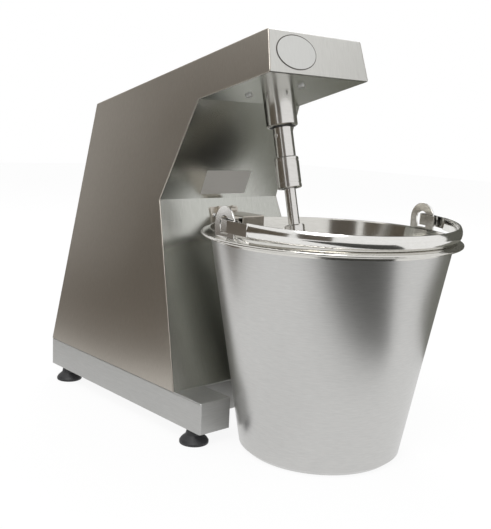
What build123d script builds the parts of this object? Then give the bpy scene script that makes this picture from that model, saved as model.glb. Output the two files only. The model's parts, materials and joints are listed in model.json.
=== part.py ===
from build123d import *
import os
from math import acos, asin, atan, cos, degrees, radians, sin, sqrt, tan

os.makedirs("parts", exist_ok=True)

# Bench butter churn: a sheet-steel stand with an inclined mixing spindle over a loose pail.
# Millimetres, +Z up, ground at z = 0, front towards -Y, +X on the right seen from the front.
# The origin is on the ground in the middle of the footprint of machine and pail together.

# ---- driving dimensions -------------------------------------------------------------------

sheet = 1.5              # stainless sheet of every cover
seam = 0.15              # gap where two sheets only butt together
bend_radius = 2.5        # outside radius of the folds
edge_radius = 1.2        # rounding along the side panels

base_width = 284.0
base_depth = 389.0
base_height = 42.0
leg_width = 51.0
recess_depth = 55.0      # how far the gap between the legs reaches back
foot_height = 19.3       # ground to underside of the base
foot_radius = 19.5
foot_inset = 11.0        # foot centre from the side of the base
front_foot_setback = 25.0
rear_foot_inset = 37.0

panel_setback = 59.0     # foot of the front panel, behind the legs' front
knee_setback = 144.0     # fold between front panel and throat panel
knee_rise = 247.5        # its height above the base top
throat_setback = 86.0    # fold between throat panel and underside of the head
throat_rise = 385.0
head_slope = 14.3        # the head and its spindle lean by this angle
underside_length = 134.8
head_thickness = 53.8
rear_top_setback = 336.7
side_taper = 7.0         # each side panel leans in by this angle

spindle_setback = 81.4   # along the underside, from the head's front edge to the spindle
housing_radius = 21.1
housing_drop = 46.0      # how far the spindle housing stands out of the underside
housing_screw_circle = 41.0

plate_thickness = 5.0
plate_half_width = 74.0
motor_spacing = 225.0    # spindle axis to motor axis
motor_radius = 62.0
motor_length = 130.0

spindle_radius = 8.5
spindle_pulley_radius = 68.0
motor_pulley_radius = 24.0
belt_width = 8.0
belt_height = 6.0
pulley_height = 16.0
pulley_lift = 22.0       # underside of the pulleys above the underside of the head

socket_radius = 13.4
socket_drop = 87.0       # shoulder of the drive socket below the head
nose_radius = 11.0       # slim lower part of the socket, inside the lock sleeve
nose_drop = 126.0
sleeve_radius = 16.4
sleeve_drop = 129.0

shaft_radius = 7.6
spigot_radius = 7.0
collar_radius = 13.7
collar_drop = 178.0
collar_length = 24.0
blade_radius = 50.0
blade_top = 300.0
blade_bottom = 445.0
blade_thickness = 2.0

pail_height = 286.8
pail_base_radius = 104.8
pail_mouth_radius = 154.9
pail_rim_radius = 165.8
pail_wall = 1.2
pail_nest = 76.0         # pail axis in front of the legs' front plane
ear_turn = -10.0         # the ears' axis is turned about the pail axis
ear_plate = 2.5
ear_radius = 22.0
ear_hole_radius = 11.0
ear_hole_lift = 12.5     # centre of the ear holes above the rim
bail_radius = 161.6      # centre line of the strip
bail_width = 14.5
bail_thickness = 2.2
bail_dip = 1.9           # degrees by which the bail lies below level
crown_half = 8.2         # half the height of the bail's crowned stretch
crown_sag = 2.5

clip_half_width = 19.5
clip_gap = 1.3           # clip above the pail rim
clip_hook = 15.0
hook_inside = 5.9        # hook's rear face inside the outer edge of the pail's mouth
running = 0.05           # radial clearance of a shaft in its bearing

# ---- places worked out from them ----------------------------------------------------------

total_depth = base_depth + pail_nest + pail_rim_radius
front_y = total_depth / 2 - base_depth           # legs' front plane
rear_y = total_depth / 2
base_top = foot_height + base_height
pail_y = front_y - pail_nest
slope = radians(head_slope)
taper = tan(radians(side_taper))


def at(setback, rise):
    """A point of the side view, from the legs' front and the base top."""
    return (front_y + setback, base_top + rise)


foot_pt = at(panel_setback, 0)
heel_pt = at(base_depth, 0)
knee_pt = at(knee_setback, knee_rise)
throat_pt = at(throat_setback, throat_rise)
brow_pt = (throat_pt[0] - underside_length * cos(slope), throat_pt[1] + underside_length * sin(slope))
crown_pt = (brow_pt[0] + head_thickness * sin(slope), brow_pt[1] + head_thickness * cos(slope))
nape_y = front_y + rear_top_setback
nape_pt = (nape_y, crown_pt[1] - (nape_y - crown_pt[0]) * tan(slope))
outline = [foot_pt, heel_pt, nape_pt, crown_pt, brow_pt, throat_pt, knee_pt]

spindle_y = brow_pt[0] + spindle_setback * cos(slope)
spindle_z = brow_pt[1] - spindle_setback * sin(slope)
drive = Location((0, spindle_y, spindle_z), (-head_slope, 0, 0))     # local +Z up the spindle
motor_place = drive * Location((0, motor_spacing, 0))

low = (Align.CENTER, Align.CENTER, Align.MIN)


def half_width(z):
    return base_width / 2 - taper * (z - base_top)


def rod(radius, z0, z1):
    """Round bar about the local Z axis."""
    return Pos(0, 0, z0) * Cylinder(radius, z1 - z0, align=low)


def tube(outer, inner, z0, z1):
    return rod(outer, z0, z1) - rod(inner, z0 - 1, z1 + 1)


def block(x0, x1, y0, y1, z0, z1):
    middle = ((x0 + x1) / 2, (y0 + y1) / 2, (z0 + z1) / 2)
    return Pos(*middle) * Box(x1 - x0, y1 - y0, z1 - z0)


def inset(points, amounts):
    """Moves each edge of a counter-clockwise outline inwards by its own amount."""
    moved = []
    count = len(points)
    for i in range(count):
        p, q = points[i], points[(i + 1) % count]
        length = sqrt((q[0] - p[0]) ** 2 + (q[1] - p[1]) ** 2)
        across = (-(q[1] - p[1]) / length, (q[0] - p[0]) / length)
        moved.append((p[0] + across[0] * amounts[i], p[1] + across[1] * amounts[i], q[0] - p[0], q[1] - p[1]))
    corners = []
    for i in range(count):
        ax, ay, adx, ady = moved[i - 1]
        bx, by, bdx, bdy = moved[i]
        s = ((bx - ax) * bdy - (by - ay) * bdx) / (adx * bdy - ady * bdx)
        corners.append((ax + adx * s, ay + ady * s))
    return corners


def side_prism(points):
    """Extrudes an outline of the side view across the full width."""
    face = Plane.YZ * make_face(Polyline(*points, close=True))
    return extrude(face, base_width / 2 + 20, both=True)


def wedge(depth):
    """The space between the two leaning sides, narrower by depth on each side."""
    step = depth / cos(radians(side_taper))
    z0, z1 = base_top - 30, crown_pt[1] + 30
    a, b = half_width(z0) - step, half_width(z1) - step
    face = Plane.XZ * make_face(Polyline((-a, z0), (a, z0), (b, z1), (-b, z1), close=True))
    return extrude(face, total_depth, both=True)


def save(name, *shapes):
    """Writes one node; several separate solids of a node go into one file."""
    solids = [s for shape in shapes for s in shape.solids()]
    export_step(solids[0] if len(solids) == 1 else Compound(solids), f"parts/{name}.step")


# ---- base ---------------------------------------------------------------------------------


def base_plan(depth):
    """U-shaped plan of the base, smaller by depth all round."""
    w, n = base_width / 2, base_width / 2 - leg_width
    f, r, b = front_y, front_y + recess_depth, rear_y
    points = [(-w, f), (-n, f), (-n, r), (n, r), (n, f), (w, f), (w, b), (-w, b)]
    return make_face(Polyline(*inset(points, [depth] * 8), close=True))


base_solid = Pos(0, 0, foot_height) * extrude(base_plan(0), base_height)
corners = base_solid.edges().filter_by(Axis.Z)
base_solid = fillet(corners, bend_radius)
base_solid = fillet(base_solid.faces().sort_by(Axis.Z)[-1].edges(), bend_radius - 0.5)
base_shell = base_solid - Pos(0, 0, foot_height - 1) * extrude(base_plan(sheet), base_height + 1 - sheet)

foot_spots = []
for sx in (-1, 1):
    foot_spots.append((sx * (base_width / 2 - foot_inset), front_y + front_foot_setback))
    foot_spots.append((sx * (base_width / 2 - foot_inset), rear_y - rear_foot_inset))

floor_thickness = 2.0
stud_radius = 4.0
base_floor = Pos(0, 0, foot_height) * extrude(base_plan(sheet + seam), floor_thickness)
for x, y in foot_spots:
    base_floor -= Pos(x, y, 0) * rod(stud_radius + 0.2, 0, base_top)

foot_neck = 10.0
foot_top = foot_height - 0.1
foot_profile = [(0, 0), (foot_radius, 0), (foot_radius, 3.5), (foot_radius - 2, 6.5), (foot_neck + 1.5, 12)]
foot_profile += [(foot_neck, foot_top), (0, foot_top)]
foot_pad = revolve(Plane.XZ * make_face(Polyline(*foot_profile, close=True)), Axis.Z)
foot_pad = fillet(foot_pad.edges().sort_by(Axis.Z)[0:1], 1.0)
stud_foot = 5.0
foot_pad -= rod(stud_radius + running, stud_foot - 0.05, foot_height + 1)
nut_height = 6.5
nut_radius = 7.5
foot_stud = rod(stud_radius, stud_foot, foot_height + floor_thickness + nut_height + 5)
foot_nut = extrude(RegularPolygon(nut_radius, 6), nut_height) - rod(stud_radius + running, -1, nut_height + 1)
foot_nut = Pos(0, 0, foot_height + floor_thickness + 0.1) * foot_nut

save("base_shell", base_shell)
save("base_floor", base_floor)
save("rubber_feet", *[Pos(x, y, 0) * foot_pad for x, y in foot_spots])
save("foot_studs", *[Pos(x, y, 0) * foot_stud for x, y in foot_spots])
save("foot_nuts", *[Pos(x, y, 0) * foot_nut for x, y in foot_spots])

# ---- housing: side panels, front wrap, head cover, rear cover -----------------------------

rear_depth = 4.0         # the rear cover is a shallow tray
housing_block = side_prism(outline) & wedge(0)
fold_edges = housing_block.edges().filter_by(lambda e: abs(e.center().X) < 1)
fold_edges = fold_edges.filter_by(lambda e: e.center().Z > base_top + 1)
housing_block = fillet(fold_edges, bend_radius)
long_edges = housing_block.edges().filter_by(
    lambda e: abs(abs(e.center().X) - half_width(e.center().Z)) < 0.6 and e.center().Z > base_top + 1
)
housing_block = fillet(long_edges, edge_radius)


def outline_moved(rear=0, roof=0, brow=0, belly=0, front=0):
    """The side outline with its rear, roof, head front, underside and two front lines moved inwards."""
    return inset(outline, [0, rear, roof, brow, belly, front, front])


def outline_inside(depth, rear):
    return outline_moved(rear=rear, roof=depth, brow=depth, belly=depth, front=depth)


beyond = -9.0            # outside every skin but the rear one
inner = outline_inside(sheet, rear_depth + seam)
panel_area = side_prism(outline_inside(beyond, rear_depth + seam))
side_skin = (housing_block & panel_area) & (wedge(-1) - wedge(sheet))

# Each side panel has a flange along its rear edge that takes the rear cover's screws.
flange_width = 16.0
flange_band = side_prism(outline_inside(sheet + 2, rear_depth + seam))
flange_band -= side_prism(outline_inside(sheet + 2, rear_depth + seam + sheet))
flange_low, flange_high = base_top + 2, nape_pt[1] - 6
flange_front = front_y + panel_setback + 80
flange_band &= side_prism([(flange_front, flange_low), (rear_y + 9, flange_low), (rear_y + 9, flange_high),
                           (flange_front, flange_high)])
flanges = flange_band & (wedge(sheet) - wedge(sheet + flange_width))
side_skin += flanges
half_space = block(0, base_width, front_y - 200, rear_y + 50, 0, crown_pt[1] + 50)
right_panel = side_skin & half_space
left_panel = side_skin & mirror(half_space, Plane.YZ)

between = wedge(sheet + seam)
lip = 0.8                # shadow gap behind the head cover's front edge
brow_cut = outline_moved(brow=sheet + lip)[4]
brow_in = outline_moved(brow=sheet + lip, belly=sheet)[4]
front_area = side_prism([foot_pt, inner[0], inner[6], inner[5], brow_in, brow_cut, throat_pt, knee_pt])
front_wrap = housing_block & front_area & between
cover_area = side_prism([brow_pt, outline_moved(brow=sheet)[4], inner[3], inner[2],
                         outline_moved(rear=rear_depth + seam)[2], crown_pt])
head_cover = housing_block & cover_area & between

tray_line = outline_moved(rear=rear_depth)
tray_area = side_prism([heel_pt, nape_pt, tray_line[2], tray_line[1]])
pocket_line = outline_moved(rear=sheet, roof=sheet)
pocket_back = outline_moved(rear=rear_depth + 1, roof=sheet)
pocket_area = side_prism([pocket_line[1], pocket_line[2], pocket_back[2], pocket_back[1]])
rear_cover = (housing_block & tray_area) - (pocket_area & wedge(sheet))

# Frame on the rear cover's outer face: local X across, Y up the face, Z outwards.
rear_lean = atan((rear_y - nape_y) / (nape_pt[1] - base_top))


def on_rear(x, rise):
    """Place on the rear cover's outer face at a height above the base top."""
    y = rear_y - (rear_y - nape_y) * rise / (nape_pt[1] - base_top)
    outwards = (0, cos(rear_lean), sin(rear_lean))
    return Plane(origin=(x, y, base_top + rise), x_dir=(-1, 0, 0), z_dir=outwards).location


lowest_louvre, louvre_pitch, louvre_rows = 230.0, 14.0, 6
louvre_x = 34.0
louvre_slot = extrude(SlotOverall(52, 4), 12, both=True)
for rise in [lowest_louvre + louvre_pitch * i for i in range(louvre_rows)]:
    for x in (-louvre_x, louvre_x):
        rear_cover -= on_rear(x, rise) * louvre_slot

inlet_rise = 34.0
inlet_width, inlet_height = 27.5, 20.0
inlet_screw_spacing = 40.0
inlet_screw_hole = 1.7
rear_cover -= on_rear(0, inlet_rise) * Box(inlet_width, inlet_height, 20)
for x in (-inlet_screw_spacing / 2, inlet_screw_spacing / 2):
    rear_cover -= on_rear(x, inlet_rise) * Cylinder(inlet_screw_hole, 20)

# Cover screws go through the tray into the side panels' flanges.
screw_radius = 2.0
cover_screw_spots = []
for rise in (26.0, 170.0, 315.0):
    z = base_top + rise
    x = half_width(z) - sheet - flange_width / 2
    cover_screw_spots += [(x, rise), (-x, rise)]
screw_drill = Cylinder(screw_radius + 0.15, 40)
for x, rise in cover_screw_spots:
    rear_cover -= on_rear(x, rise) * screw_drill
    right_panel -= on_rear(x, rise) * screw_drill
    left_panel -= on_rear(x, rise) * screw_drill


def pan_screw(head_radius, head_height, shank_radius, shank_length):
    """Cross-recessed pan head on local z = 0, shank towards -Z."""
    head = rod(head_radius, 0, head_height)
    head = fillet(head.edges().sort_by(Axis.Z)[-1:], head_height * 0.6)
    for turn in (0, 90):
        head -= Pos(0, 0, head_height) * Rot(0, 0, turn) * Box(head_radius * 1.1, head_radius * 0.28, head_height)
    return head + rod(shank_radius, -shank_length, 0)


cover_screw = Pos(0, 0, 0.05) * pan_screw(3.9, 2.6, screw_radius, rear_depth + 8)
save("left_side_panel", left_panel)

# ---- drive plate, spindle housing, bearings -----------------------------------------------

plate_bottom = sheet + 0.1
plate_top = plate_bottom + plate_thickness
plate_front = -(spindle_setback - sheet - 6)
plate_rear = motor_spacing + motor_radius + 6
drive_plate = block(-plate_half_width, plate_half_width, plate_front, plate_rear, plate_bottom, plate_top)
drive_plate = fillet(drive_plate.edges().filter_by(Axis.Z), 10)
drive_plate -= rod(housing_radius + 0.3, -1, plate_top + 1)
shield_bolt_circle = 54.0
motor_boss_radius = 30.0
drive_plate -= Pos(0, motor_spacing, 0) * rod(motor_boss_radius + 0.5, -1, plate_top + 1)
bolt_turns = (45, 135, 225, 315)
slot_length = 16.0
for turn in bolt_turns:
    x, y = shield_bolt_circle * cos(radians(turn)), shield_bolt_circle * sin(radians(turn))
    slot = Pos(x, motor_spacing + y, 0) * extrude(Rot(0, 0, 90) * SlotOverall(slot_length, 6.6), 20, both=True)
    drive_plate -= slot

screw_turns = (34.5, 154.5, 274.5)
housing_spots = []
for turn in screw_turns:
    angle = radians(turn)
    housing_spots.append((housing_screw_circle * cos(angle), housing_screw_circle * sin(angle)))
housing_screw_radius = 2.5
for x, y in housing_spots:
    drive_plate -= Pos(x, y, 0) * rod(housing_screw_radius + 0.2, -1, plate_top + 1)
    front_wrap -= drive * Pos(x, y, 0) * rod(housing_screw_radius + 0.2, -10, 10)
front_wrap -= drive * rod(housing_radius + 0.3, -10, 10)

bearing_radius, bearing_height = 17.5, 10.0
flange_radius, flange_height = 50.0, 8.0
seal_height = 4.0
housing_top = plate_top + 0.1 + flange_height
spindle_housing = rod(housing_radius, -housing_drop, plate_top + 0.2)
spindle_housing = chamfer(spindle_housing.edges().sort_by(Axis.Z)[:1], 1.6)
spindle_housing += rod(flange_radius, plate_top + 0.1, housing_top)
spindle_housing -= rod(bearing_radius - 2, -housing_drop - 1, housing_top + 1)
lower_seat = -housing_drop + seal_height
spindle_housing -= rod(bearing_radius + 0.01, -housing_drop - 1, lower_seat + bearing_height)
spindle_housing -= rod(bearing_radius + 0.01, housing_top - bearing_height, housing_top + 1)
for x, y in housing_spots:
    spindle_housing -= Pos(x, y, 0) * rod(housing_screw_radius + running, plate_top, housing_top + 1)

race_gap = 3.2
ball_radius = 2.4


def bearing_races(z0, height, outer, inner_r):
    """Outer race, inner race and balls of one deep-groove bearing standing on z0."""
    middle = (outer + inner_r) / 2
    track = Pos(0, 0, z0 + height / 2) * Torus(middle, ball_radius + 0.05)
    outer_race = tube(outer, middle + race_gap / 2, z0, z0 + height) - track
    inner_race = tube(middle - race_gap / 2, inner_r, z0, z0 + height) - track
    balls = []
    for i in range(8):
        spot = Rot(0, 0, 45 * i) * Pos(middle, 0, z0 + height / 2)
        balls.append(spot * Sphere(ball_radius))
    return outer_race, inner_race, balls


upper_seat = housing_top - bearing_height
bearings = []
for seat in (lower_seat, upper_seat):
    bearings.append(bearing_races(seat + 0.02, bearing_height - 0.04, bearing_radius, spindle_radius + 0.01))
spindle_seal = tube(bearing_radius, spindle_radius + 2 + running, -housing_drop + 0.2, lower_seat - 0.05)
housing_screw = pan_screw(4.6, 3.2, housing_screw_radius, plate_top + flange_height - 1)
housing_screw = Pos(0, 0, -0.05) * mirror(housing_screw, Plane.XY)

save("head_cover", head_cover)
save("rear_cover", rear_cover)
save("rear_cover_screws", *[on_rear(x, rise) * cover_screw for x, rise in cover_screw_spots])
save("drive_plate", drive * drive_plate)
save("spindle_housing", drive * spindle_housing)
save("bearing_outer_races", *[drive * outer_race for outer_race, _, _ in bearings])
save("bearing_inner_races", *[drive * inner_race for _, inner_race, _ in bearings])
save("bearing_balls", *[drive * ball for _, _, balls in bearings for ball in balls])
save("spindle_seal", drive * spindle_seal)
save("housing_screws", *[drive * Pos(x, y, 0) * housing_screw for x, y in housing_spots])

# Angle brackets carry the rear half of the plate on the side panels.
bracket_from, bracket_to = 78.0, plate_rear - 12
angle_leg = 26.0
angle_thickness = 2.5
angle_top = plate_bottom - 0.1
angle_slab = drive * block(-base_width, base_width, bracket_from, bracket_to, angle_top - angle_leg, angle_top)
angle_floor = drive * block(-base_width, base_width, bracket_from, bracket_to, angle_top - angle_thickness, angle_top)
angle_walls = angle_slab & (wedge(sheet + seam) - wedge(sheet + seam + angle_thickness))
angle_steps = angle_floor & (wedge(sheet + seam) - block(-(motor_radius + 3), motor_radius + 3, -900, 900, 0, 900))
brackets = angle_walls + angle_steps
room_inside = side_prism(outline_inside(3, rear_depth + 8))
save("plate_brackets", brackets & room_inside)

# ---- spindle, pulleys, belt ---------------------------------------------------------------

spindle_top = pulley_lift + pulley_height + 9
shoulder = spindle_radius + 2
spindle_shaft = rod(spindle_radius, -72, spindle_top)
spindle_shaft += rod(shoulder, lower_seat + bearing_height + 0.05, housing_top - bearing_height - 0.05)
spindle_shaft += rod(shoulder, -housing_drop - 0.8, lower_seat)
spindle_shaft = chamfer(spindle_shaft.edges().sort_by(Axis.Z)[-1:], 1)


def pulley(belt_radius, bore):
    """V-belt pulley; the belt's inner face runs at belt_radius - belt_height / 2."""
    floor_radius = belt_radius - belt_height / 2 - 0.3
    rim = belt_radius + 2
    wide = belt_width / 2 + 2.2
    narrow = belt_width / 2 + 0.4
    middle = pulley_lift + pulley_height / 2
    body = rod(rim, pulley_lift, pulley_lift + pulley_height)
    cut = [(floor_radius, middle - narrow), (rim + 1, middle - wide)]
    cut += [(rim + 1, middle + wide), (floor_radius, middle + narrow)]
    body -= revolve(Plane.XZ * make_face(Polyline(*cut, close=True)), Axis.Z)
    return body - rod(bore + 0.01, pulley_lift - 1, pulley_lift + pulley_height + 1)


spindle_pulley = pulley(spindle_pulley_radius, spindle_radius)
pulley_windows = 5
window_radius = 13.0
for i in range(pulley_windows):
    window = Pos((spindle_pulley_radius + 12) / 2, 0, 0) * rod(window_radius, 0, 60)
    spindle_pulley -= Rot(0, 0, 360 * i / pulley_windows) * window
pulley_spacer = tube(spindle_radius + 5, spindle_radius + 0.01, housing_top + 0.05, pulley_lift - 0.05)
pulley_nut_height = 7.0
pulley_nut = extrude(RegularPolygon(13, 6), pulley_nut_height) - rod(spindle_radius + 0.01, -1, pulley_nut_height + 1)
pulley_nut = Pos(0, 0, pulley_lift + pulley_height + 0.1) * pulley_nut

motor_shaft_radius = 7.0
motor_pulley = pulley(motor_pulley_radius, motor_shaft_radius)
pulley_top = pulley_lift + pulley_height
motor_pulley += tube(13, motor_shaft_radius + 0.01, pulley_top, pulley_top + 7)


def loop(grow):
    """Outline of the belt round both pulleys, grown outwards."""
    a, b, d = spindle_pulley_radius + grow, motor_pulley_radius + grow, motor_spacing
    beta = acos((a - b) / d)
    c, s = cos(beta), sin(beta)
    web = make_face(Polyline((a * s, a * c), (b * s, d + b * c), (-b * s, d + b * c), (-a * s, a * c), close=True))
    return Circle(a) + Pos(0, d) * Circle(b) + web


belt_low = pulley_lift + (pulley_height - belt_width) / 2
belt = extrude(loop(belt_height / 2) - loop(-belt_height / 2), belt_width)

save("spindle_pulley", drive * spindle_pulley)
save("pulley_spacer", drive * pulley_spacer)
save("pulley_nut", drive * pulley_nut)
save("motor_pulley", motor_place * motor_pulley)
save("drive_belt", drive * Pos(0, 0, belt_low) * belt)

# ---- drive socket, lock sleeve and its spring ---------------------------------------------

land_top, land_bottom = 103.0, 110.0          # the sleeve's land that holds the lock balls in
ball_drop = (land_top + land_bottom) / 2
lock_ball = 2.5
slot_top = 115.0
pin_drop = 117.5
lip_top = 122.0
ring_drop = land_bottom + 0.3

drive_socket = rod(socket_radius, -socket_drop, -housing_drop - 1)
drive_socket = chamfer(drive_socket.edges().sort_by(Axis.Z)[-1:], 0.8)
drive_socket += rod(nose_radius, -nose_drop, -socket_drop)
drive_socket -= rod(spindle_radius + 0.02, -72.5, 0)
drive_socket -= rod(spigot_radius + running, -nose_drop - 1, -76)
ball_turns = (90, 210, 330)
ball_hole = Pos(12, 0, 0) * Rot(0, 90, 0) * Cylinder(lock_ball + 0.05, 16)
for turn in ball_turns:
    drive_socket -= Pos(0, 0, -ball_drop) * Rot(0, 0, turn) * ball_hole
drive_socket -= block(-20, 20, -2.1, 2.1, -nose_drop - 1, -slot_top)
ring_width = 1.25
ring_groove = 0.7
drive_socket -= tube(nose_radius + 1, nose_radius - ring_groove, -ring_drop - ring_width, -ring_drop)
socket_pin_drop = 58.0
socket_pin_radius = 2.5
pin_bar = Pos(0, 0, -socket_pin_drop) * Rot(0, 90, 0) * Cylinder(socket_pin_radius, 2 * socket_radius + 2)
pin_hole = Pos(0, 0, -socket_pin_drop) * Rot(0, 90, 0) * Cylinder(socket_pin_radius + 0.02, 60)
drive_socket -= pin_hole
spindle_shaft -= pin_hole

ring_bore = nose_radius - ring_groove + 0.05
snap_ring = tube(nose_radius + 1.6, ring_bore, -ring_drop - ring_width + 0.05, -ring_drop - 0.05)
snap_ring -= block(0, 20, -3, 3, -ring_drop - 5, -ring_drop + 5)
ball_seat = nose_radius - lock_ball
lock_balls = [Rot(0, 0, turn) * Pos(ball_seat, 0, -ball_drop) * Sphere(lock_ball) for turn in ball_turns]

bore = socket_radius + 0.2
lock_sleeve = rod(sleeve_radius, -sleeve_drop, -socket_drop - 0.6)
lock_sleeve = chamfer(lock_sleeve.edges(), 1.0)
lock_sleeve -= rod(bore, -land_top, 0)
lock_sleeve -= rod(nose_radius + 0.08, -sleeve_drop - 1, 0)
lock_sleeve -= rod(bore, -lip_top, -land_bottom)
grip_depth = 0.8
for drop in (sleeve_drop - 6.5, socket_drop + 5.5):
    lock_sleeve -= tube(sleeve_radius + 1, sleeve_radius - grip_depth, -drop - grip_depth, -drop + grip_depth)

spring_wire = 0.7
spring_radius = (nose_radius + bore) / 2
spring_height = land_top - socket_drop - 2 * spring_wire - 0.4
spring_path = Helix(pitch=spring_height / 4, height=spring_height, radius=spring_radius)
spring_start = Plane(origin=spring_path @ 0, z_dir=spring_path % 0)
lock_spring = sweep(spring_start * Circle(spring_wire), spring_path)
lock_spring = Pos(0, 0, -land_top + spring_wire + 0.2) * lock_spring

save("spindle_shaft", drive * spindle_shaft)
save("drive_socket", drive * drive_socket)
save("socket_pin", drive * pin_bar)
save("snap_ring", drive * snap_ring)
save("lock_balls", *[drive * ball for ball in lock_balls])
save("lock_sleeve", drive * lock_sleeve)
save("lock_spring", drive * lock_spring)

# ---- mixing shaft and agitator ------------------------------------------------------------

spigot_top = 77.0
shaft_end = blade_bottom + 4
mixing_shaft = rod(shaft_radius, -shaft_end, -nose_drop - 1)
mixing_shaft += rod(spigot_radius, -nose_drop - 1, -spigot_top)
mixing_shaft = chamfer(mixing_shaft.edges().sort_by(Axis.Z)[-1:], 1)
mixing_shaft -= Pos(0, 0, -ball_drop) * Torus(ball_seat, lock_ball + 0.05)
pin_radius = 2.0
cross_pin = Pos(0, 0, -pin_drop) * Rot(0, 90, 0) * Cylinder(pin_radius, 2 * nose_radius - 0.6)
mixing_shaft -= Pos(0, 0, -pin_drop) * Rot(0, 90, 0) * Cylinder(pin_radius + 0.02, 60)

hub_radius = 10.5
agitator_hub = rod(collar_radius, -collar_drop - collar_length, -collar_drop)
agitator_hub = chamfer(agitator_hub.edges(), 1.6)
agitator_hub += rod(hub_radius, -blade_bottom - 2, -collar_drop - collar_length)
agitator_hub -= rod(shaft_radius + 0.05, -blade_bottom - 3, -collar_drop + 1)
set_drop = collar_drop + collar_length / 2
set_radius = 3.0
set_bar = Cylinder(set_radius + 0.02, 2 * (collar_radius - shaft_radius))
set_hole = Pos(0, collar_radius, -set_drop) * Rot(90, 0, 0) * set_bar
agitator_hub -= set_hole
set_length = collar_radius - shaft_radius - 0.6
set_start = shaft_radius + 0.1
hex_socket = extrude(RegularPolygon(1.7, 6), 2.4, both=True)
set_screw = Pos(0, set_start + set_length / 2, -set_drop) * Rot(90, 0, 0) * Cylinder(set_radius, set_length)
set_screw -= Pos(0, set_start + set_length, -set_drop) * Rot(90, 0, 0) * hex_socket

blade_height = blade_bottom - blade_top
blade_corner = 10.0
blade = block(hub_radius + 0.1, blade_radius, -blade_thickness / 2, blade_thickness / 2, -blade_bottom, -blade_top)
outer_corners = blade.edges().filter_by(Axis.Y).filter_by(lambda e: e.center().X > blade_radius - 1)
blade = fillet(outer_corners, blade_corner)
hole_count = 3
blade_hole = 9.0
for i in range(hole_count):
    drop = blade_top + blade_height * (i + 0.5) / hole_count
    middle = (hub_radius + blade_radius) / 2
    blade -= Pos(middle, 0, -drop) * Rot(90, 0, 0) * Cylinder(blade_hole, 10)
blades = [Rot(0, 0, 90 * i) * blade for i in range(4)]

save("mixing_shaft", drive * mixing_shaft)
save("cross_pin", drive * cross_pin)
save("agitator_hub", drive * agitator_hub)
save("hub_set_screw", drive * set_screw)
save("agitator_blades", *[drive * b for b in blades])

# ---- motor --------------------------------------------------------------------------------

shield_top = plate_bottom - 0.1
shield_height = 11.0
body_top = shield_top - shield_height
body_bottom = body_top - motor_length
fan_shield_height = 9.0
shell_wall = 6.0
motor_bearing_radius = 16.0
motor_bearing_height = 9.0

motor_front_shield = rod(motor_radius, body_top, shield_top) + rod(motor_boss_radius, shield_top, plate_top)
motor_front_shield -= rod(motor_shaft_radius + 2, body_top - 1, plate_top + 1)
motor_front_shield -= rod(motor_bearing_radius + 0.01, body_top - 1, body_top + motor_bearing_height)
motor_rear_shield = rod(motor_radius, body_bottom - fan_shield_height, body_bottom)
motor_rear_shield -= rod(motor_shaft_radius + 2, body_bottom - 30, body_bottom + 1)
motor_rear_shield -= rod(motor_bearing_radius + 0.01, body_bottom - fan_shield_height + 1.5, body_bottom + 1)
motor_shell = tube(motor_radius, motor_radius - shell_wall, body_bottom + 0.05, body_top - 0.05)
fin_count = 24
fin_gap = Pos(motor_radius, 0, (body_top + body_bottom) / 2) * Box(6, 8, motor_length - 16)
for i in range(fin_count):
    motor_shell -= Rot(0, 0, 360 * (i + 0.5) / fin_count) * fin_gap

stator_length = 74.0
core_bottom = (body_top + body_bottom - stator_length) / 2
rotor_radius = 32.0
stator_core = tube(motor_radius - shell_wall - 0.05, rotor_radius + 0.5, core_bottom, core_bottom + stator_length)
winding_slot = Pos(rotor_radius + 9, 0, core_bottom + stator_length / 2) * Box(11, 7, stator_length + 2)
for i in range(12):
    stator_core -= Rot(0, 0, 30 * i) * winding_slot
windings = []
coil_height = 12.8
for z0 in (core_bottom - 0.2 - coil_height, core_bottom + stator_length + 0.2):
    coil = tube(rotor_radius + 17, rotor_radius + 3, z0, z0 + coil_height)
    windings.append(fillet(coil.edges(), 3))
rotor_core = tube(rotor_radius, motor_shaft_radius + 0.01, core_bottom, core_bottom + stator_length)
motor_shaft = rod(motor_shaft_radius, body_bottom - fan_shield_height - 24, pulley_lift + pulley_height + 8)
bearing_top = body_top + motor_bearing_height - 0.05
bearing_low = body_bottom - fan_shield_height + 1.55
motor_bearings = [
    tube(motor_bearing_radius, motor_shaft_radius + running, body_top + 0.05, bearing_top),
    tube(motor_bearing_radius, motor_shaft_radius + running, bearing_low, body_bottom - 0.05),
]

fan_top = body_bottom - fan_shield_height - 3
fan_height = 16.0
fan_radius = 48.0
cooling_fan = tube(15, motor_shaft_radius + 0.01, fan_top - fan_height, fan_top)
for i in range(8):
    cooling_fan += Rot(0, 0, 45 * i) * block(14, fan_radius, -1, 1, fan_top - fan_height, fan_top)
cooling_fan += tube(fan_radius, 12, fan_top - 1.6, fan_top)
cowl_bottom = fan_top - fan_height - 10
cowl_wall = 1.2
fan_cowl = tube(motor_radius, motor_radius - cowl_wall, cowl_bottom, body_bottom - fan_shield_height - 0.05)
cowl_floor = rod(motor_radius, cowl_bottom, cowl_bottom + cowl_wall)
for ring_radius, holes in ((14, 6), (27, 12), (40, 18)):
    for i in range(holes):
        cowl_floor -= Rot(0, 0, 360 * i / holes) * Pos(ring_radius, 0, 0) * rod(4, cowl_bottom - 1, cowl_bottom + 3)
fan_cowl += cowl_floor

bolt = extrude(RegularPolygon(5.8, 6), 4.2)
bolt = Pos(0, 0, plate_top + 1.7) * bolt + rod(3, shield_top - 8, plate_top + 1.75)
washer = tube(8, 3.1, plate_top + 0.05, plate_top + 1.65)
bolt_spots = [(shield_bolt_circle * cos(radians(t)), shield_bolt_circle * sin(radians(t))) for t in bolt_turns]
for x, y in bolt_spots:
    motor_front_shield -= Pos(x, y, 0) * rod(3.02, shield_top - 8.1, shield_top + 1)

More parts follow.
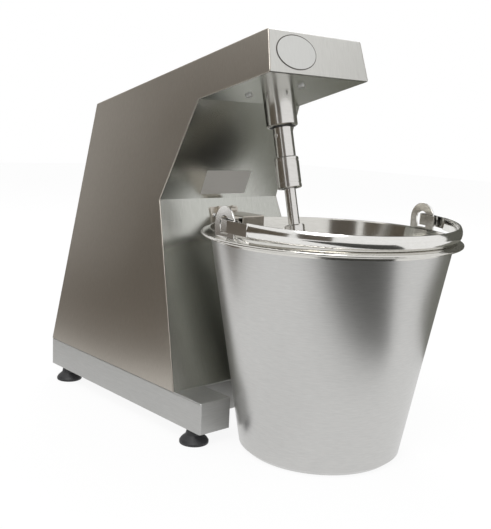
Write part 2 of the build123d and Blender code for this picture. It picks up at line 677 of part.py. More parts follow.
save("motor_front_shield", motor_place * motor_front_shield)
save("motor_rear_shield", motor_place * motor_rear_shield)
save("motor_shell", motor_place * motor_shell)
save("stator_core", motor_place * stator_core)
save("stator_windings", *[motor_place * w for w in windings])
save("rotor_core", motor_place * rotor_core)
save("motor_shaft", motor_place * motor_shaft)
save("motor_bearings", *[motor_place * b for b in motor_bearings])
save("cooling_fan", motor_place * cooling_fan)
save("fan_cowl", motor_place * fan_cowl)
save("motor_bolts", *[motor_place * Pos(x, y, 0) * piece for x, y in bolt_spots for piece in (bolt, washer)])

# ---- mains inlet on the rear cover --------------------------------------------------------

inlet_depth = 24.0
recess_width, recess_height, recess_deep = 24.0, 16.4, 17.0
inlet_flange = 2.2
high = (Align.CENTER, Align.CENTER, Align.MAX)
inlet = Pos(0, 0, 0.1) * Box(inlet_width - 0.6, inlet_height - 0.6, inlet_depth, align=high)
inlet += Pos(0, 0, 0.05) * extrude(fillet(Rectangle(50, inlet_height + 4).vertices(), 4), inlet_flange)
recess = extrude(chamfer(Rectangle(recess_width, recess_height).vertices().sort_by(Axis.Y)[-2:], 4), recess_deep)
inlet -= Pos(0, 0, inlet_flange + 0.05 - recess_deep) * recess
for x in (-inlet_screw_spacing / 2, inlet_screw_spacing / 2):
    inlet -= Pos(x, 0, 0) * Cylinder(inlet_screw_hole, 20)
contacts = []
for x, y in ((-7, 1.5), (7, 1.5), (0, -2.5)):
    contacts.append(Pos(x, y, inlet_flange - 3) * Box(2, 4.4, recess_deep - 3.2, align=high))
inlet_screw = Pos(0, 0, inlet_flange + 0.1) * pan_screw(3.0, 2.0, 1.5, 10)
save("mains_inlet", on_rear(0, inlet_rise) * inlet)
save("inlet_contacts", *[on_rear(0, inlet_rise) * contact for contact in contacts])
inlet_spots = [on_rear(x, inlet_rise) for x in (-inlet_screw_spacing / 2, inlet_screw_spacing / 2)]
save("inlet_screws", *[spot * inlet_screw for spot in inlet_spots])

# ---- rotary switch on the right side panel ------------------------------------------------

switch_setback, switch_rise = 190.0, 104.0
switch_stem = 3.0
switch_plate_radius = 24.0
switch_face = Plane(
    origin=(half_width(base_top + switch_rise), front_y + switch_setback, base_top + switch_rise),
    x_dir=(0, 1, 0),
    z_dir=(cos(radians(side_taper)), 0, sin(radians(side_taper))),
).location
right_panel -= switch_face * Cylinder(6.2, 20)
save("right_side_panel", right_panel)
switch_plate = rod(switch_plate_radius, 0.05, 1.8)
switch_plate = fillet(switch_plate.edges().sort_by(Axis.Z)[-1:], 0.8)
switch_plate -= rod(6.2, -1, 3)
switch_body = block(-20, 20, -20, 20, -sheet - 30, -sheet - 0.1)
switch_body = fillet(switch_body.edges().filter_by(Axis.Z), 3)
switch_body += rod(6.0, -sheet - 1, 1.6)
switch_body -= rod(switch_stem + running, -14, 3)
grip = block(-4.2, 4.2, -14, 14, 8.5, 19)
grip = fillet(grip.edges().filter_by(Axis.Y).sort_by(Axis.Z)[-2:], 1.6)
knob = rod(15.5, 2.4, 9)
knob = chamfer(knob.edges().sort_by(Axis.Z)[-1:], 1.0) + grip
knob += rod(switch_stem, -13.5, 2.5)
save("switch_plate", switch_face * switch_plate)
save("switch_body", switch_face * switch_body)
save("switch_knob", switch_face * knob)

# ---- pail, ears and bail ------------------------------------------------------------------

pail_place = Location((0, pail_y, 0))
corner = 6.0
cone = (pail_mouth_radius - pail_base_radius) / pail_height
neck_z = pail_height - 9.0
flange_drop = 8.6
bead_radius = 2.2
bead_r = pail_rim_radius - bead_radius
bead_z = pail_height - flange_drop + bead_radius


def wall(z):
    """Outer radius of the pail's cone."""
    return pail_base_radius + cone * z


rim_slope = (pail_height - bead_z - bead_radius * 0.6) / (bead_r - pail_mouth_radius)
skin = pail_wall * sqrt(1 + rim_slope ** 2)
with BuildSketch(Plane.XZ) as pail_section:
    with BuildLine():
        Polyline(
            (0, 0), (wall(0) - corner, 0), (wall(corner), corner), (wall(neck_z), neck_z),
            (pail_mouth_radius - 0.3, pail_height - 2.6),
            (bead_r, bead_z + bead_radius * 0.6 - skin),
            (bead_r, bead_z + bead_radius * 0.6),
            (pail_mouth_radius + 0.7, pail_height - 0.1),
            (pail_mouth_radius - 0.9, pail_height - 0.1),
            (pail_mouth_radius - 1.5, pail_height - 2.0),
            (wall(neck_z) - pail_wall, neck_z),
            (wall(corner) - pail_wall, corner + pail_wall * 0.7),
            (wall(0) - corner - pail_wall * 0.4, pail_wall), (0, pail_wall), (0, 0),
        )
    make_face()
pail_body = revolve(pail_section.sketch, Axis.Z)
pail_body += Pos(0, 0, bead_z) * Torus(bead_r, bead_radius)

ear_height = pail_height + ear_hole_lift
ear_in = pail_mouth_radius + 0.4
ear_shape = Circle(ear_radius) + Pos(0, -12) * Rectangle(2 * ear_radius, 24)
ear_shape -= Circle(ear_hole_radius)
ear_shape -= Pos(0, -6) * Rectangle(2 * ear_hole_radius - 6, 10)
ear = extrude(ear_shape, ear_plate)
ear = Plane(origin=(ear_in, 0, ear_height), x_dir=(0, 1, 0), z_dir=(1, 0, 0)).location * ear
ear = fillet(ear.edges().filter_by(GeomType.CIRCLE).filter_by(lambda e: e.radius > ear_radius - 1), 0.7)
under_rim = [(0, 0), (pail_rim_radius + 30, 0), (pail_rim_radius + 30, bead_z - 4)]
under_rim += [(bead_r, bead_z + bead_radius * 0.6 + 0.15), (pail_mouth_radius + 0.7, pail_height + 0.05)]
under_rim += [(0, pail_height + 0.05)]
ear -= revolve(Plane.XZ * make_face(Polyline(*under_rim, close=True)), Axis.Z)
ears = [Rot(0, 0, ear_turn + turn) * ear for turn in (0, 180)]

# The bail is a strip bent to a half ring. Each flat end hooks through an ear from outside and turns
# forward; between the ends the strip is crowned outwards.
neck_y = bail_thickness / 2
tip_x = ear_in - 1.5 - bail_thickness / 2
tip_reach = -ear_radius - 4
hook_run = 26.0          # straight lead of each hook along the ear
flat_run = 46.0          # end of the flat strip, forward of the ears' axis
hook_bend = 2.4


def on_ring(forward):
    """Point of the strip's centre line at a distance forward of the ears' axis."""
    return (sqrt(bail_radius ** 2 - forward ** 2), -forward)


hook_line = FilletPolyline(
    on_ring(hook_run), (bail_radius + 0.3, -14), (bail_radius + 0.3, neck_y), (tip_x, neck_y), (tip_x, tip_reach),
    radius=hook_bend,
)
flat_arc = ThreePointArc(on_ring(flat_run), on_ring((hook_run + flat_run) / 2), on_ring(hook_run))
strip_line = Wire(flat_arc.edges() + hook_line.edges())
strip_plan = make_face(offset(strip_line, bail_thickness / 2).edges())
strip_end = extrude(strip_plan, bail_width / 2, both=True)

outer_r, inner_r = bail_radius + bail_thickness / 2, bail_radius - bail_thickness / 2
with BuildSketch(Plane.XZ) as crown_section:
    with BuildLine():
        ThreePointArc((outer_r - crown_sag, -crown_half), (outer_r, 0), (outer_r - crown_sag, crown_half))
        Line((outer_r - crown_sag, crown_half), (inner_r - crown_sag, crown_half))
        ThreePointArc((inner_r - crown_sag, crown_half), (inner_r, 0), (inner_r - crown_sag, -crown_half))
        Line((inner_r - crown_sag, -crown_half), (outer_r - crown_sag, -crown_half))
    make_face()
crown_from = degrees(asin((flat_run - 2) / bail_radius))
crown = revolve(crown_section.sketch, Axis.Z, revolution_arc=180 - 2 * crown_from)
bail = strip_end + mirror(strip_end, Plane.YZ) + Rot(0, 0, 180 + crown_from) * crown
bail = Rot(0, 0, ear_turn) * Pos(0, 0, ear_height) * Rot(bail_dip, 0, 0) * bail

save("pail_body", pail_place * pail_body)
save("pail_ears", *[pail_place * e for e in ears])
save("pail_bail", pail_place * bail)

# ---- pail clip on the front panel ---------------------------------------------------------

panel_lean = atan((knee_setback - panel_setback) / knee_rise)
clip_z = pail_height + clip_gap                       # underside of the clip's top
pivot_rise = clip_z - base_top + 3.6
clip_thickness = 2.0
knuckle_radius = 4.5
pivot_y = front_y + panel_setback + pivot_rise * tan(panel_lean) - (knuckle_radius + 3.4) / cos(panel_lean)
pivot_z = base_top + pivot_rise
hook_y = pail_y + pail_mouth_radius - hook_inside     # rear face of the hook, inside the mouth
clip = block(-clip_half_width, clip_half_width, hook_y - clip_thickness, pivot_y, clip_z, clip_z + clip_thickness)
clip += block(-clip_half_width, clip_half_width, hook_y - clip_thickness, hook_y, clip_z - clip_hook, clip_z + 0.5)
fold = clip.edges().filter_by(Axis.X).filter_by(
    lambda e: e.center().Y < hook_y - clip_thickness + 0.1 and e.center().Z > clip_z + 1
)
clip = fillet(fold, 1.8)
clip -= block(-30, -11.3, pivot_y - 8, pivot_y + 9, clip_z - 9, clip_z + 20)
clip -= block(11.3, 30, pivot_y - 8, pivot_y + 9, clip_z - 9, clip_z + 20)
along_x = Location((0, pivot_y, pivot_z), (0, 90, 0))
clip += along_x * Cylinder(knuckle_radius, 22.6)
pin_r = 2.0
clip -= along_x * Cylinder(pin_r + running, 60)

on_panel = Plane(
    origin=(0, front_y + panel_setback + pivot_rise * tan(panel_lean), pivot_z),
    x_dir=(1, 0, 0),
    z_dir=(0, -cos(panel_lean), sin(panel_lean)),
).location
leaf_low, leaf_high = -20.0, 4.6          # the leaf hangs below the pivot
leaf_screw_x, leaf_screw_y = 20.5, -7.5
hinge_leaf = block(-26, 26, leaf_low, leaf_high, 0.05, 2.05)
hinge_leaf = fillet(hinge_leaf.edges().filter_by(Axis.Z), 2)
hinge_base = on_panel * hinge_leaf
for side in (-1, 1):
    cheek = side * 13.0
    lug = Pos(cheek, 0, 0) * along_x * Cylinder(knuckle_radius, 3)
    web = on_panel * block(cheek - 1.5, cheek + 1.5, -knuckle_radius, knuckle_radius, 2.0, knuckle_radius + 3.4)
    hinge_base += lug + web
hinge_base -= along_x * Cylinder(pin_r + 0.02, 60)
leaf_spots = [on_panel * Pos(x, leaf_screw_y, 0) for x in (-leaf_screw_x, leaf_screw_x)]
for spot in leaf_spots:
    hinge_base -= spot * Cylinder(1.7, 20)
    front_wrap -= spot * Cylinder(1.7, 20)
clip_pin = along_x * Cylinder(pin_r, 29.6)
clip_screw = Pos(0, 0, 2.1) * pan_screw(3.0, 2.0, 1.5, 9)

save("front_wrap", front_wrap)
save("pail_clip", clip)
save("clip_hinge", hinge_base)
save("clip_pin", clip_pin)
save("clip_screws", *[spot * clip_screw for spot in leaf_spots])
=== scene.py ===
import json
from math import cos, pi, radians, sin

import bmesh
import bpy
from mathutils import Matrix, Vector


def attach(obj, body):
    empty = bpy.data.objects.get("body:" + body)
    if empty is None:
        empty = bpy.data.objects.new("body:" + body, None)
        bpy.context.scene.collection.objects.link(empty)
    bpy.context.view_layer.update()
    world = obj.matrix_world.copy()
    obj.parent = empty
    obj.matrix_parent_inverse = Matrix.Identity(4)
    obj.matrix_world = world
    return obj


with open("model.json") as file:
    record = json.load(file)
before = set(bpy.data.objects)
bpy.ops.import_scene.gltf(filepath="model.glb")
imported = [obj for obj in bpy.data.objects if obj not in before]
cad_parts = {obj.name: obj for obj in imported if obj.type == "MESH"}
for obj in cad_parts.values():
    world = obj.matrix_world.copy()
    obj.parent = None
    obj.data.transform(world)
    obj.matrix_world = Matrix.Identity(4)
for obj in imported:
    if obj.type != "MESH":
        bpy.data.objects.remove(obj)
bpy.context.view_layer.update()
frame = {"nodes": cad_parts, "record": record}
print("frame loaded")


# shared shader effects


def newGroup(name, inputs, outputs):
    group = bpy.data.node_groups.new(name, "ShaderNodeTree")
    for label, kind, value in inputs:
        socket = group.interface.new_socket(name=label, in_out="INPUT", socket_type=kind)
        socket.default_value = value
    for label, kind in outputs:
        group.interface.new_socket(name=label, in_out="OUTPUT", socket_type=kind)
    ends = group.nodes.new("NodeGroupInput"), group.nodes.new("NodeGroupOutput")
    return group, ends[0], ends[1]


def addNode(tree, kind, **settings):
    node = tree.nodes.new(kind)
    for key, value in settings.items():
        setattr(node, key, value)
    return node


def mathNode(tree, operation, first, second):
    node = addNode(tree, "ShaderNodeMath", operation=operation)
    for socket, value in zip(node.inputs, (first, second)):
        if isinstance(value, (int, float)):
            socket.default_value = value
        else:
            tree.links.new(value, socket)
    return node.outputs[0]


def makeGrain():  # fine drawn lines left by a sanding belt
    group, start, end = newGroup(
        "sandedGrain",
        [("Stretch", "NodeSocketVector", (1, 1, 1)), ("Scale", "NodeSocketFloat", 60.0),
         ("Contrast", "NodeSocketFloat", 1.0)],
        [("Tone", "NodeSocketFloat"), ("Height", "NodeSocketFloat")],
    )
    place = addNode(group, "ShaderNodeTexCoord")
    stretch = addNode(group, "ShaderNodeVectorMath", operation="MULTIPLY")
    lines = addNode(group, "ShaderNodeTexNoise")
    lines.inputs["Detail"].default_value = 3.0
    lines.inputs["Roughness"].default_value = 0.6
    group.links.new(place.outputs["Object"], stretch.inputs[0])
    group.links.new(start.outputs["Stretch"], stretch.inputs[1])
    group.links.new(stretch.outputs[0], lines.inputs["Vector"])
    group.links.new(start.outputs["Scale"], lines.inputs["Scale"])
    centred = mathNode(group, "SUBTRACT", lines.outputs["Fac"], 0.5)
    spread = mathNode(group, "MULTIPLY", centred, start.outputs["Contrast"])
    tone = mathNode(group, "ADD", spread, 0.5)
    group.links.new(tone, end.inputs["Tone"])
    group.links.new(lines.outputs["Fac"], end.inputs["Height"])
    return group


def makeHandling():  # broad, faint patches where hands and cloths have been
    group, start, end = newGroup(
        "handlingMarks",
        [("Scale", "NodeSocketFloat", 9.0), ("Low", "NodeSocketFloat", 0.3), ("High", "NodeSocketFloat", 0.4)],
        [("Value", "NodeSocketFloat")],
    )
    place = addNode(group, "ShaderNodeTexCoord")
    patches = addNode(group, "ShaderNodeTexNoise")
    patches.inputs["Detail"].default_value = 4.0
    patches.inputs["Distortion"].default_value = 0.4
    group.links.new(place.outputs["Object"], patches.inputs["Vector"])
    group.links.new(start.outputs["Scale"], patches.inputs["Scale"])
    span = mathNode(group, "SUBTRACT", start.outputs["High"], start.outputs["Low"])
    share = mathNode(group, "MULTIPLY", patches.outputs["Fac"], span)
    group.links.new(mathNode(group, "ADD", share, start.outputs["Low"]), end.inputs["Value"])
    return group


def makeTint():  # two tones of one finish, mixed by a mask
    group, start, end = newGroup(
        "finishTint",
        [("Mask", "NodeSocketFloat", 0.5), ("Dark", "NodeSocketColor", (0.5, 0.5, 0.5, 1)),
         ("Light", "NodeSocketColor", (0.6, 0.6, 0.6, 1))],
        [("Color", "NodeSocketColor")],
    )
    mix = addNode(group, "ShaderNodeMix", data_type="RGBA", clamp_factor=True)
    group.links.new(start.outputs["Mask"], mix.inputs["Factor"])
    group.links.new(start.outputs["Dark"], mix.inputs[6])
    group.links.new(start.outputs["Light"], mix.inputs[7])
    group.links.new(mix.outputs[2], end.inputs["Color"])
    return group


sandedGrain, handlingMarks, finishTint = makeGrain(), makeHandling(), makeTint()


def placeGroup(tree, group, values):
    node = addNode(tree, "ShaderNodeGroup", node_tree=group)
    for key, value in values.items():
        node.inputs[key].default_value = value
    return node


def makeFinish(name, look):
    material = bpy.data.materials.new(name)
    material.use_nodes = True
    tree = material.node_tree
    shader = tree.nodes["Principled BSDF"]
    shader.inputs["Metallic"].default_value = look["metal"]
    lines = {"Stretch": look["stretch"], "Scale": look["grainScale"], "Contrast": look["contrast"]}
    patches = {"Scale": look["markScale"], "Low": look["rough"][0], "High": look["rough"][1]}
    grain = placeGroup(tree, sandedGrain, lines)
    marks = placeGroup(tree, handlingMarks, patches)
    tint = placeGroup(tree, finishTint, {"Dark": look["dark"] + (1,), "Light": look["light"] + (1,)})
    bump = addNode(tree, "ShaderNodeBump")
    bump.inputs["Strength"].default_value = look["bump"]
    bump.inputs["Distance"].default_value = look["depth"]
    tree.links.new(grain.outputs["Tone"], tint.inputs["Mask"])
    tree.links.new(tint.outputs["Color"], shader.inputs["Base Color"])
    tree.links.new(marks.outputs["Value"], shader.inputs["Roughness"])
    tree.links.new(grain.outputs["Height"], bump.inputs["Height"])
    tree.links.new(bump.outputs["Normal"], shader.inputs["Normal"])
    return material


# finishes

coverLook = {  # brushed stainless of the housing, drawn along its height; the grey is the steel's own, the brownish warmth of its dark and light tones is a painted reflection of the brown surroundings the side sheets face
    "metal": 1.0, "stretch": (9, 9, 0.35), "grainScale": 120.0, "contrast": 1.3, "markScale": 5.0, "rough": (0.27, 0.38),
    "dark": (0.46, 0.425, 0.375), "light": (0.56, 0.525, 0.475), "bump": 0.10, "depth": 0.0004,
}
headLook = dict(
    coverLook, stretch=(9, 0.6, 0.5), dark=(0.56, 0.555, 0.53), light=(0.68, 0.675, 0.645), rough=(0.26, 0.36),
)
frontLook = dict(headLook, dark=(0.46, 0.465, 0.43), light=(0.58, 0.585, 0.55), rough=(0.20, 0.28))
baseLook = dict(
    coverLook, stretch=(0.5, 0.5, 9), dark=(0.45, 0.45, 0.44), light=(0.55, 0.55, 0.54), rough=(0.44, 0.54),
)
bailLook = {  # polished by a mop
    "metal": 1.0, "stretch": (2, 2, 6), "grainScale": 90.0, "contrast": 0.8, "markScale": 18.0, "rough": (0.09, 0.17),
    "dark": (0.70, 0.69, 0.66), "light": (0.82, 0.81, 0.79), "bump": 0.03, "depth": 0.0003,
}
turnedLook = dict(
    bailLook, stretch=(0.6, 1.0, 10), grainScale=160.0, rough=(0.14, 0.24),
    dark=(0.60, 0.58, 0.56), light=(0.76, 0.75, 0.73), bump=0.06,
)
fastenerLook = dict(
    bailLook, stretch=(4, 4, 4), rough=(0.25, 0.38), dark=(0.52, 0.52, 0.52), light=(0.68, 0.68, 0.67),
)
plateLook = dict(
    coverLook, stretch=(4, 4, 4), grainScale=40.0, rough=(0.4, 0.55), dark=(0.36, 0.36, 0.36), light=(0.5, 0.5, 0.5),
)
castLook = dict(
    coverLook, stretch=(3, 3, 3), grainScale=150.0, rough=(0.42, 0.56),
    dark=(0.5, 0.5, 0.51), light=(0.64, 0.64, 0.65), bump=0.2,
)
coreLook = dict(
    coverLook, stretch=(1, 3, 9), grainScale=80.0, rough=(0.45, 0.6), dark=(0.22, 0.22, 0.23), light=(0.34, 0.34, 0.35),
)
copperLook = dict(
    bailLook, stretch=(8, 8, 2), grainScale=120.0, rough=(0.3, 0.42),
    dark=(0.42, 0.17, 0.08), light=(0.62, 0.29, 0.14), bump=0.3,
)
brassLook = dict(bailLook, dark=(0.55, 0.42, 0.2), light=(0.72, 0.58, 0.3), rough=(0.25, 0.35))
rubberLook = {  # moulded rubber, slightly bloomed
    "metal": 0.0, "stretch": (1, 1, 1), "grainScale": 900.0, "contrast": 0.9, "markScale": 30.0, "rough": (0.42, 0.62),
    "dark": (0.010, 0.010, 0.011), "light": (0.030, 0.030, 0.032), "bump": 0.15, "depth": 0.0003,
}
plasticLook = dict(rubberLook, rough=(0.30, 0.42), dark=(0.012, 0.012, 0.013), light=(0.026, 0.026, 0.027), bump=0.08)
paintLook = dict(rubberLook, rough=(0.3, 0.45), dark=(0.05, 0.055, 0.06), light=(0.09, 0.095, 0.1), bump=0.06)
finishes = {
    # the cover finish's brownish tone is a painted reflection of the brown surroundings, on top of the steel's own grey
    "cover_sheet": makeFinish("brushedCoverPaintedReflection", coverLook), "base_sheet": makeFinish("satinBase", baseLook),
    "rubber": makeFinish("mouldedRubber", rubberLook), "zinc_steel": makeFinish("plainFastener", fastenerLook),
    "plate_steel": makeFinish("rolledPlate", plateLook), "turned_steel": makeFinish("turnedSteel", turnedLook),
    "bearing_steel": makeFinish("groundSteel", bailLook), "cast_aluminium": makeFinish("castAluminium", castLook),
    "core_steel": makeFinish("laminatedCore", coreLook), "copper_wire": makeFinish("varnishedCopper", copperLook),
    "black_plastic": makeFinish("mouldedPlastic", plasticLook), "painted_sheet": makeFinish("paintedCowl", paintLook),
    "contact_brass": makeFinish("contactBrass", brassLook), "pail_steel": makeFinish("polishedBail", bailLook),
}
frontSheet, headSheet = makeFinish("brushedFront", frontLook), makeFinish("brushedHead", headLook)

pailLook = {
    "middle": (0.0, -0.1496), "rimFrom": 0.274, "satinRough": 0.30, "polishRough": 0.13,
    "satinDark": (0.50, 0.498, 0.488), "satinLight": (0.62, 0.616, 0.602),
    "polishDark": (0.58, 0.565, 0.53), "polishLight": (0.70, 0.69, 0.655),
    "grain": {"Stretch": (1.2, 1.2, 14), "Scale": 70.0, "Contrast": 1.2}, "markScale": 7.0,
    "bump": 0.10, "depth": 0.0004, "wallHalf": 0.01,
}


def makePailSteel():  # satin outside, polished rim and inside
    material = bpy.data.materials.new("pailSteel")
    material.use_nodes = True
    tree = material.node_tree
    link = tree.links.new
    shader = tree.nodes["Principled BSDF"]
    shader.inputs["Metallic"].default_value = 1.0
    place = addNode(tree, "ShaderNodeTexCoord")
    split = addNode(tree, "ShaderNodeSeparateXYZ")
    link(place.outputs["Object"], split.inputs[0])
    outX = mathNode(tree, "SUBTRACT", split.outputs[0], pailLook["middle"][0])
    outY = mathNode(tree, "SUBTRACT", split.outputs[1], pailLook["middle"][1])
    facing = addNode(tree, "ShaderNodeSeparateXYZ")
    link(place.outputs["Normal"], facing.inputs[0])
    alongX = mathNode(tree, "MULTIPLY", outX, facing.outputs[0])
    alongY = mathNode(tree, "MULTIPLY", outY, facing.outputs[1])
    inside = mathNode(tree, "LESS_THAN", mathNode(tree, "ADD", alongX, alongY), pailLook["wallHalf"])
    atRim = mathNode(tree, "GREATER_THAN", split.outputs[2], pailLook["rimFrom"])
    polished = mathNode(tree, "MAXIMUM", inside, atRim)
    grain = placeGroup(tree, sandedGrain, pailLook["grain"])
    satinTones = {"Dark": pailLook["satinDark"] + (1,), "Light": pailLook["satinLight"] + (1,)}
    polishTones = {"Dark": pailLook["polishDark"] + (1,), "Light": pailLook["polishLight"] + (1,)}
    satin = placeGroup(tree, finishTint, satinTones)
    polish = placeGroup(tree, finishTint, polishTones)
    link(grain.outputs["Tone"], satin.inputs["Mask"])
    link(grain.outputs["Tone"], polish.inputs["Mask"])
    tint = addNode(tree, "ShaderNodeMix", data_type="RGBA")
    link(polished, tint.inputs["Factor"])
    link(satin.outputs["Color"], tint.inputs[6])
    link(polish.outputs["Color"], tint.inputs[7])
    link(tint.outputs[2], shader.inputs["Base Color"])
    gap = pailLook["polishRough"] - pailLook["satinRough"]
    low, high = pailLook["satinRough"] - 0.03, pailLook["satinRough"] + 0.05
    marks = placeGroup(tree, handlingMarks, {"Scale": pailLook["markScale"], "Low": low, "High": high})
    smoother = mathNode(tree, "MULTIPLY", polished, gap)
    link(mathNode(tree, "ADD", marks.outputs["Value"], smoother), shader.inputs["Roughness"])
    bump = addNode(tree, "ShaderNodeBump")
    bump.inputs["Strength"].default_value = pailLook["bump"]
    bump.inputs["Distance"].default_value = pailLook["depth"]
    link(grain.outputs["Height"], bump.inputs["Height"])
    link(bump.outputs["Normal"], shader.inputs["Normal"])
    return material


def dress(node, material):
    shape = frame["nodes"][node]
    shape.data.materials.clear()
    shape.data.materials.append(material)


for entry in frame["record"]["subparts"]:
    dress(entry["node"], finishes[entry["material_slot"]])
dress("front_wrap", frontSheet)
dress("head_cover", headSheet)
dress("pail_body", makePailSteel())
print("finishes placed")


# pieces on the sheet


def addPiece(name, mesh, body, material):
    piece = bpy.data.objects.new(name, mesh)
    bpy.context.scene.collection.objects.link(piece)
    piece.data.materials.append(material)
    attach(piece, body)
    return piece


def platePlace(centre, tilt, lift):  # local Y runs up the sheet, local Z stands out of it; tilt is from vertical
    upward = Vector((0, sin(tilt), cos(tilt)))
    across = Vector((1, 0, 0))
    outward = across.cross(upward)
    turn = Matrix((across, upward, outward)).transposed().to_4x4()
    return Matrix.Translation(Vector(centre) + outward * lift) @ turn


def platePiece(outline, thickness, soften, place):  # thin plate with softened upper edges
    work = bmesh.new()
    lower = [work.verts.new((x, y, 0)) for x, y in outline]
    face = work.faces.new(lower)
    raised = bmesh.ops.extrude_face_region(work, geom=[face])
    top = [v for v in raised["geom"] if isinstance(v, bmesh.types.BMVert)]
    bmesh.ops.translate(work, verts=top, vec=(0, 0, thickness))
    bmesh.ops.recalc_face_normals(work, faces=work.faces)
    edges = [e for e in work.edges if all(v.co.z > thickness / 2 for v in e.verts)]
    bmesh.ops.bevel(work, geom=edges, offset=soften, segments=2, affect="EDGES")
    mesh = bpy.data.meshes.new("plate")
    work.to_mesh(mesh)
    work.free()
    mesh.transform(place)
    return mesh


def ovalOutline(width, height, count):
    return [(width / 2 * cos(2 * pi * i / count), height / 2 * sin(2 * pi * i / count)) for i in range(count)]


def roundedOutline(width, height, corner, steps):
    points = []
    for turn, (sx, sy) in enumerate(((1, 1), (-1, 1), (-1, -1), (1, -1))):
        for i in range(steps + 1):
            angle = pi / 2 * (turn + i / steps)
            x = sx * (width / 2 - corner) + corner * cos(angle)
            y = sy * (height / 2 - corner) + corner * sin(angle)
            points.append((x, y))
    return points


badge = {
    "centre": (-0.0408, -0.11145, 0.50615), "width": 0.069, "height": 0.044, "tilt": 14.3, "thickness": 0.0006,
    "border": 0.0011, "edge": 72, "borderLift": 0.00002, "faceLift": 0.0001,
    "borderSoften": 0.00015, "faceSoften": 0.0001,
}
badgeRimLook = dict(paintLook, dark=(0.04, 0.035, 0.03), light=(0.08, 0.07, 0.06))
badgeFaceLook = dict(headLook, dark=(0.60, 0.60, 0.58), light=(0.68, 0.68, 0.66), bump=0.03)
badgePlace = platePlace(badge["centre"], radians(badge["tilt"]), badge["borderLift"])
rimOutline = ovalOutline(badge["width"], badge["height"], badge["edge"])
rimMesh = platePiece(rimOutline, badge["thickness"], badge["borderSoften"], badgePlace)
addPiece("badge_border", rimMesh, "machine", makeFinish("badgeBorder", badgeRimLook))
facePlace = platePlace(badge["centre"], radians(badge["tilt"]), badge["faceLift"])
inset = 2 * badge["border"]
faceOutline = ovalOutline(badge["width"] - inset, badge["height"] - inset, badge["edge"])
faceMesh = platePiece(faceOutline, badge["thickness"], badge["faceSoften"], facePlace)
addPiece("badge_plate", faceMesh, "machine", makeFinish("badgeBlank", badgeFaceLook))

label = {
    "centre": (0.0, 0.06039, 0.3325), "width": 0.084, "height": 0.0375, "tilt": -22.87, "thickness": 0.0003,
    "corner": 0.0015, "cornerSteps": 5, "lift": 0.00002, "soften": 0.0001,
}
labelLook = dict(paintLook, rough=(0.35, 0.5), dark=(0.40, 0.385, 0.36), light=(0.46, 0.445, 0.42), bump=0.03)
labelPlace = platePlace(label["centre"], radians(label["tilt"]), label["lift"])
labelOutline = roundedOutline(label["width"], label["height"], label["corner"], label["cornerSteps"])
labelMesh = platePiece(labelOutline, label["thickness"], label["soften"], labelPlace)
addPiece("blank_label", labelMesh, "machine", makeFinish("blankLabel", labelLook))
print("plates placed")


# floor, room and lamps

studio = {
    "floorHalf": 6.0, "floorLevel": -0.0006, "floorTone": 0.92, "floorWhite": 0.90, "roomDiffuse": 0.85,
    "cardRough": 0.9,
}


def backgroundRays(tree):  # camera, glossy and transmission rays see the white room
    rays = addNode(tree, "ShaderNodeLightPath")
    seen = mathNode(tree, "MAXIMUM", rays.outputs["Is Camera Ray"], rays.outputs["Is Glossy Ray"])
    return mathNode(tree, "MAXIMUM", seen, rays.outputs["Is Transmission Ray"])


def makeFloor():
    half, level = studio["floorHalf"], studio["floorLevel"]
    mesh = bpy.data.meshes.new("floor")
    corners = [(-half, -half, level), (half, -half, level), (half, half, level), (-half, half, level)]
    mesh.from_pydata(corners, [], [(0, 1, 2, 3)])
    floor = bpy.data.objects.new("floor", mesh)
    bpy.context.scene.collection.objects.link(floor)
    material = bpy.data.materials.new("paleFloor")
    material.use_nodes = True
    tree = material.node_tree
    tree.nodes.remove(tree.nodes["Principled BSDF"])
    matt = addNode(tree, "ShaderNodeBsdfDiffuse")
    matt.inputs["Color"].default_value = (studio["floorTone"],) * 3 + (1,)
    white = addNode(tree, "ShaderNodeEmission")
    mix = addNode(tree, "ShaderNodeMixShader")
    tree.links.new(mathNode(tree, "MULTIPLY", backgroundRays(tree), studio["floorWhite"]), mix.inputs[0])
    tree.links.new(matt.outputs[0], mix.inputs[1])
    tree.links.new(white.outputs[0], mix.inputs[2])
    tree.links.new(mix.outputs[0], tree.nodes["Material Output"].inputs[0])
    mesh.materials.append(material)


def makeRoom():
    world = bpy.data.worlds.new("studioRoom")
    bpy.context.scene.world = world
    world.use_nodes = True
    tree = world.node_tree
    back = tree.nodes["Background"]
    mix = addNode(tree, "ShaderNodeMix", data_type="RGBA")
    mix.inputs[6].default_value = (studio["roomDiffuse"],) * 3 + (1,)
    mix.inputs[7].default_value = (1, 1, 1, 1)
    tree.links.new(backgroundRays(tree), mix.inputs["Factor"])
    tree.links.new(mix.outputs[2], back.inputs["Color"])


def addLamp(name, place, target, size, power):
    light = bpy.data.lights.new(name, "AREA")
    light.shape = "DISK"
    light.size = size
    light.energy = power
    lamp = bpy.data.objects.new(name, light)
    lamp.location = place
    lamp.rotation_euler = (Vector(target) - Vector(place)).to_track_quat("-Z", "Y").to_euler()
    bpy.context.scene.collection.objects.link(lamp)


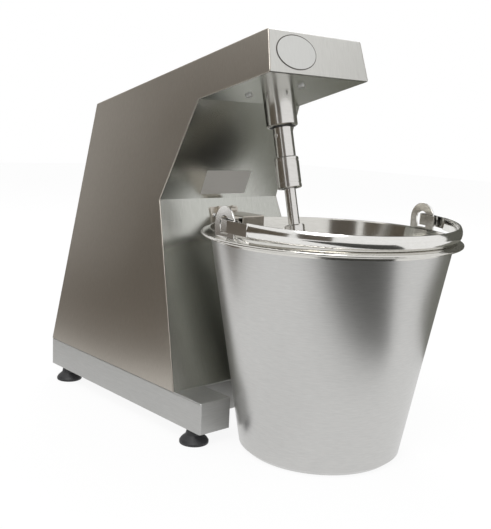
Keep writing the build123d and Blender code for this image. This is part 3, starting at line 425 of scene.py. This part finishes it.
def addCard(name, centre, target, width, height, tone):  # grey card that only reflections show
    mesh = bpy.data.meshes.new(name)
    w, h = width / 2, height / 2
    mesh.from_pydata([(-w, -h, 0), (w, -h, 0), (w, h, 0), (-w, h, 0)], [], [(0, 1, 2, 3)])
    card = bpy.data.objects.new(name, mesh)
    card.location = centre
    card.rotation_euler = (Vector(target) - Vector(centre)).to_track_quat("Z", "Y").to_euler()
    bpy.context.scene.collection.objects.link(card)
    material = bpy.data.materials.new(name)
    material.use_nodes = True
    tree = material.node_tree
    shader = tree.nodes["Principled BSDF"]
    shader.inputs["Base Color"].default_value = tuple(tone) + (1,)
    shader.inputs["Roughness"].default_value = studio["cardRough"]
    mesh.materials.append(material)
    card.visible_camera = False
    card.visible_diffuse = False
    card.visible_shadow = False


makeFloor()
makeRoom()
addLamp("keySoftbox", (-1.6, -1.2, 2.6), (0, 0, 0.25), 1.8, 40)
addLamp("rearSoftbox", (1.4, 1.6, 2.2), (0, 0, 0.3), 1.6, 22)
cardHeart = (0, -0.05, 0.25)
addCard("cardLeft", (-2.1, 1.0, 0.5), cardHeart, 3.4, 1.7, (0.09, 0.074, 0.054))
addCard("cardNear", (-1.85, -1.2, 0.7), cardHeart, 1.1, 1.5, (0.10, 0.085, 0.07))
addCard("cardRight", (1.4, 0.15, 0.35), cardHeart, 2.2, 1.6, (0.09, 0.09, 0.075))
addCard("cardFloorLeft", (-1.3, 1.45, 0.003), (-1.3, 1.45, 1.0), 1.9, 2.1, (0.12, 0.10, 0.08))
addCard("cardFloorRight", (1.05, 0.15, 0.003), (1.05, 0.15, 1.0), 1.2, 1.4, (0.14, 0.14, 0.115))
addCard("cardFloorFront", (-0.50, -0.98, 0.004), (-0.50, -0.98, 1.0), 1.25, 0.94, (0.03, 0.03, 0.027))

camera = {
    "place": (-0.7676, -0.8446, 0.4144), "turn": 41.88, "down": 9.752, "roll": 2.539,
    "lens": 55.25, "shift": (0.0007, 0.0018),
}
lens = bpy.data.cameras.new("viewCamera")
lens.lens = camera["lens"]
lens.shift_x, lens.shift_y = camera["shift"]
lens.clip_start = 0.02
eye = bpy.data.objects.new("viewCamera", lens)
eye.matrix_world = (
    Matrix.Translation(camera["place"]) @ Matrix.Rotation(-radians(camera["turn"]), 4, "Z")
    @ Matrix.Rotation(radians(90 - camera["down"]), 4, "X") @ Matrix.Rotation(radians(camera["roll"]), 4, "Z")
)
bpy.context.scene.collection.objects.link(eye)
bpy.context.scene.camera = eye
bpy.context.scene.view_settings.view_transform = "Standard"
print("studio ready")
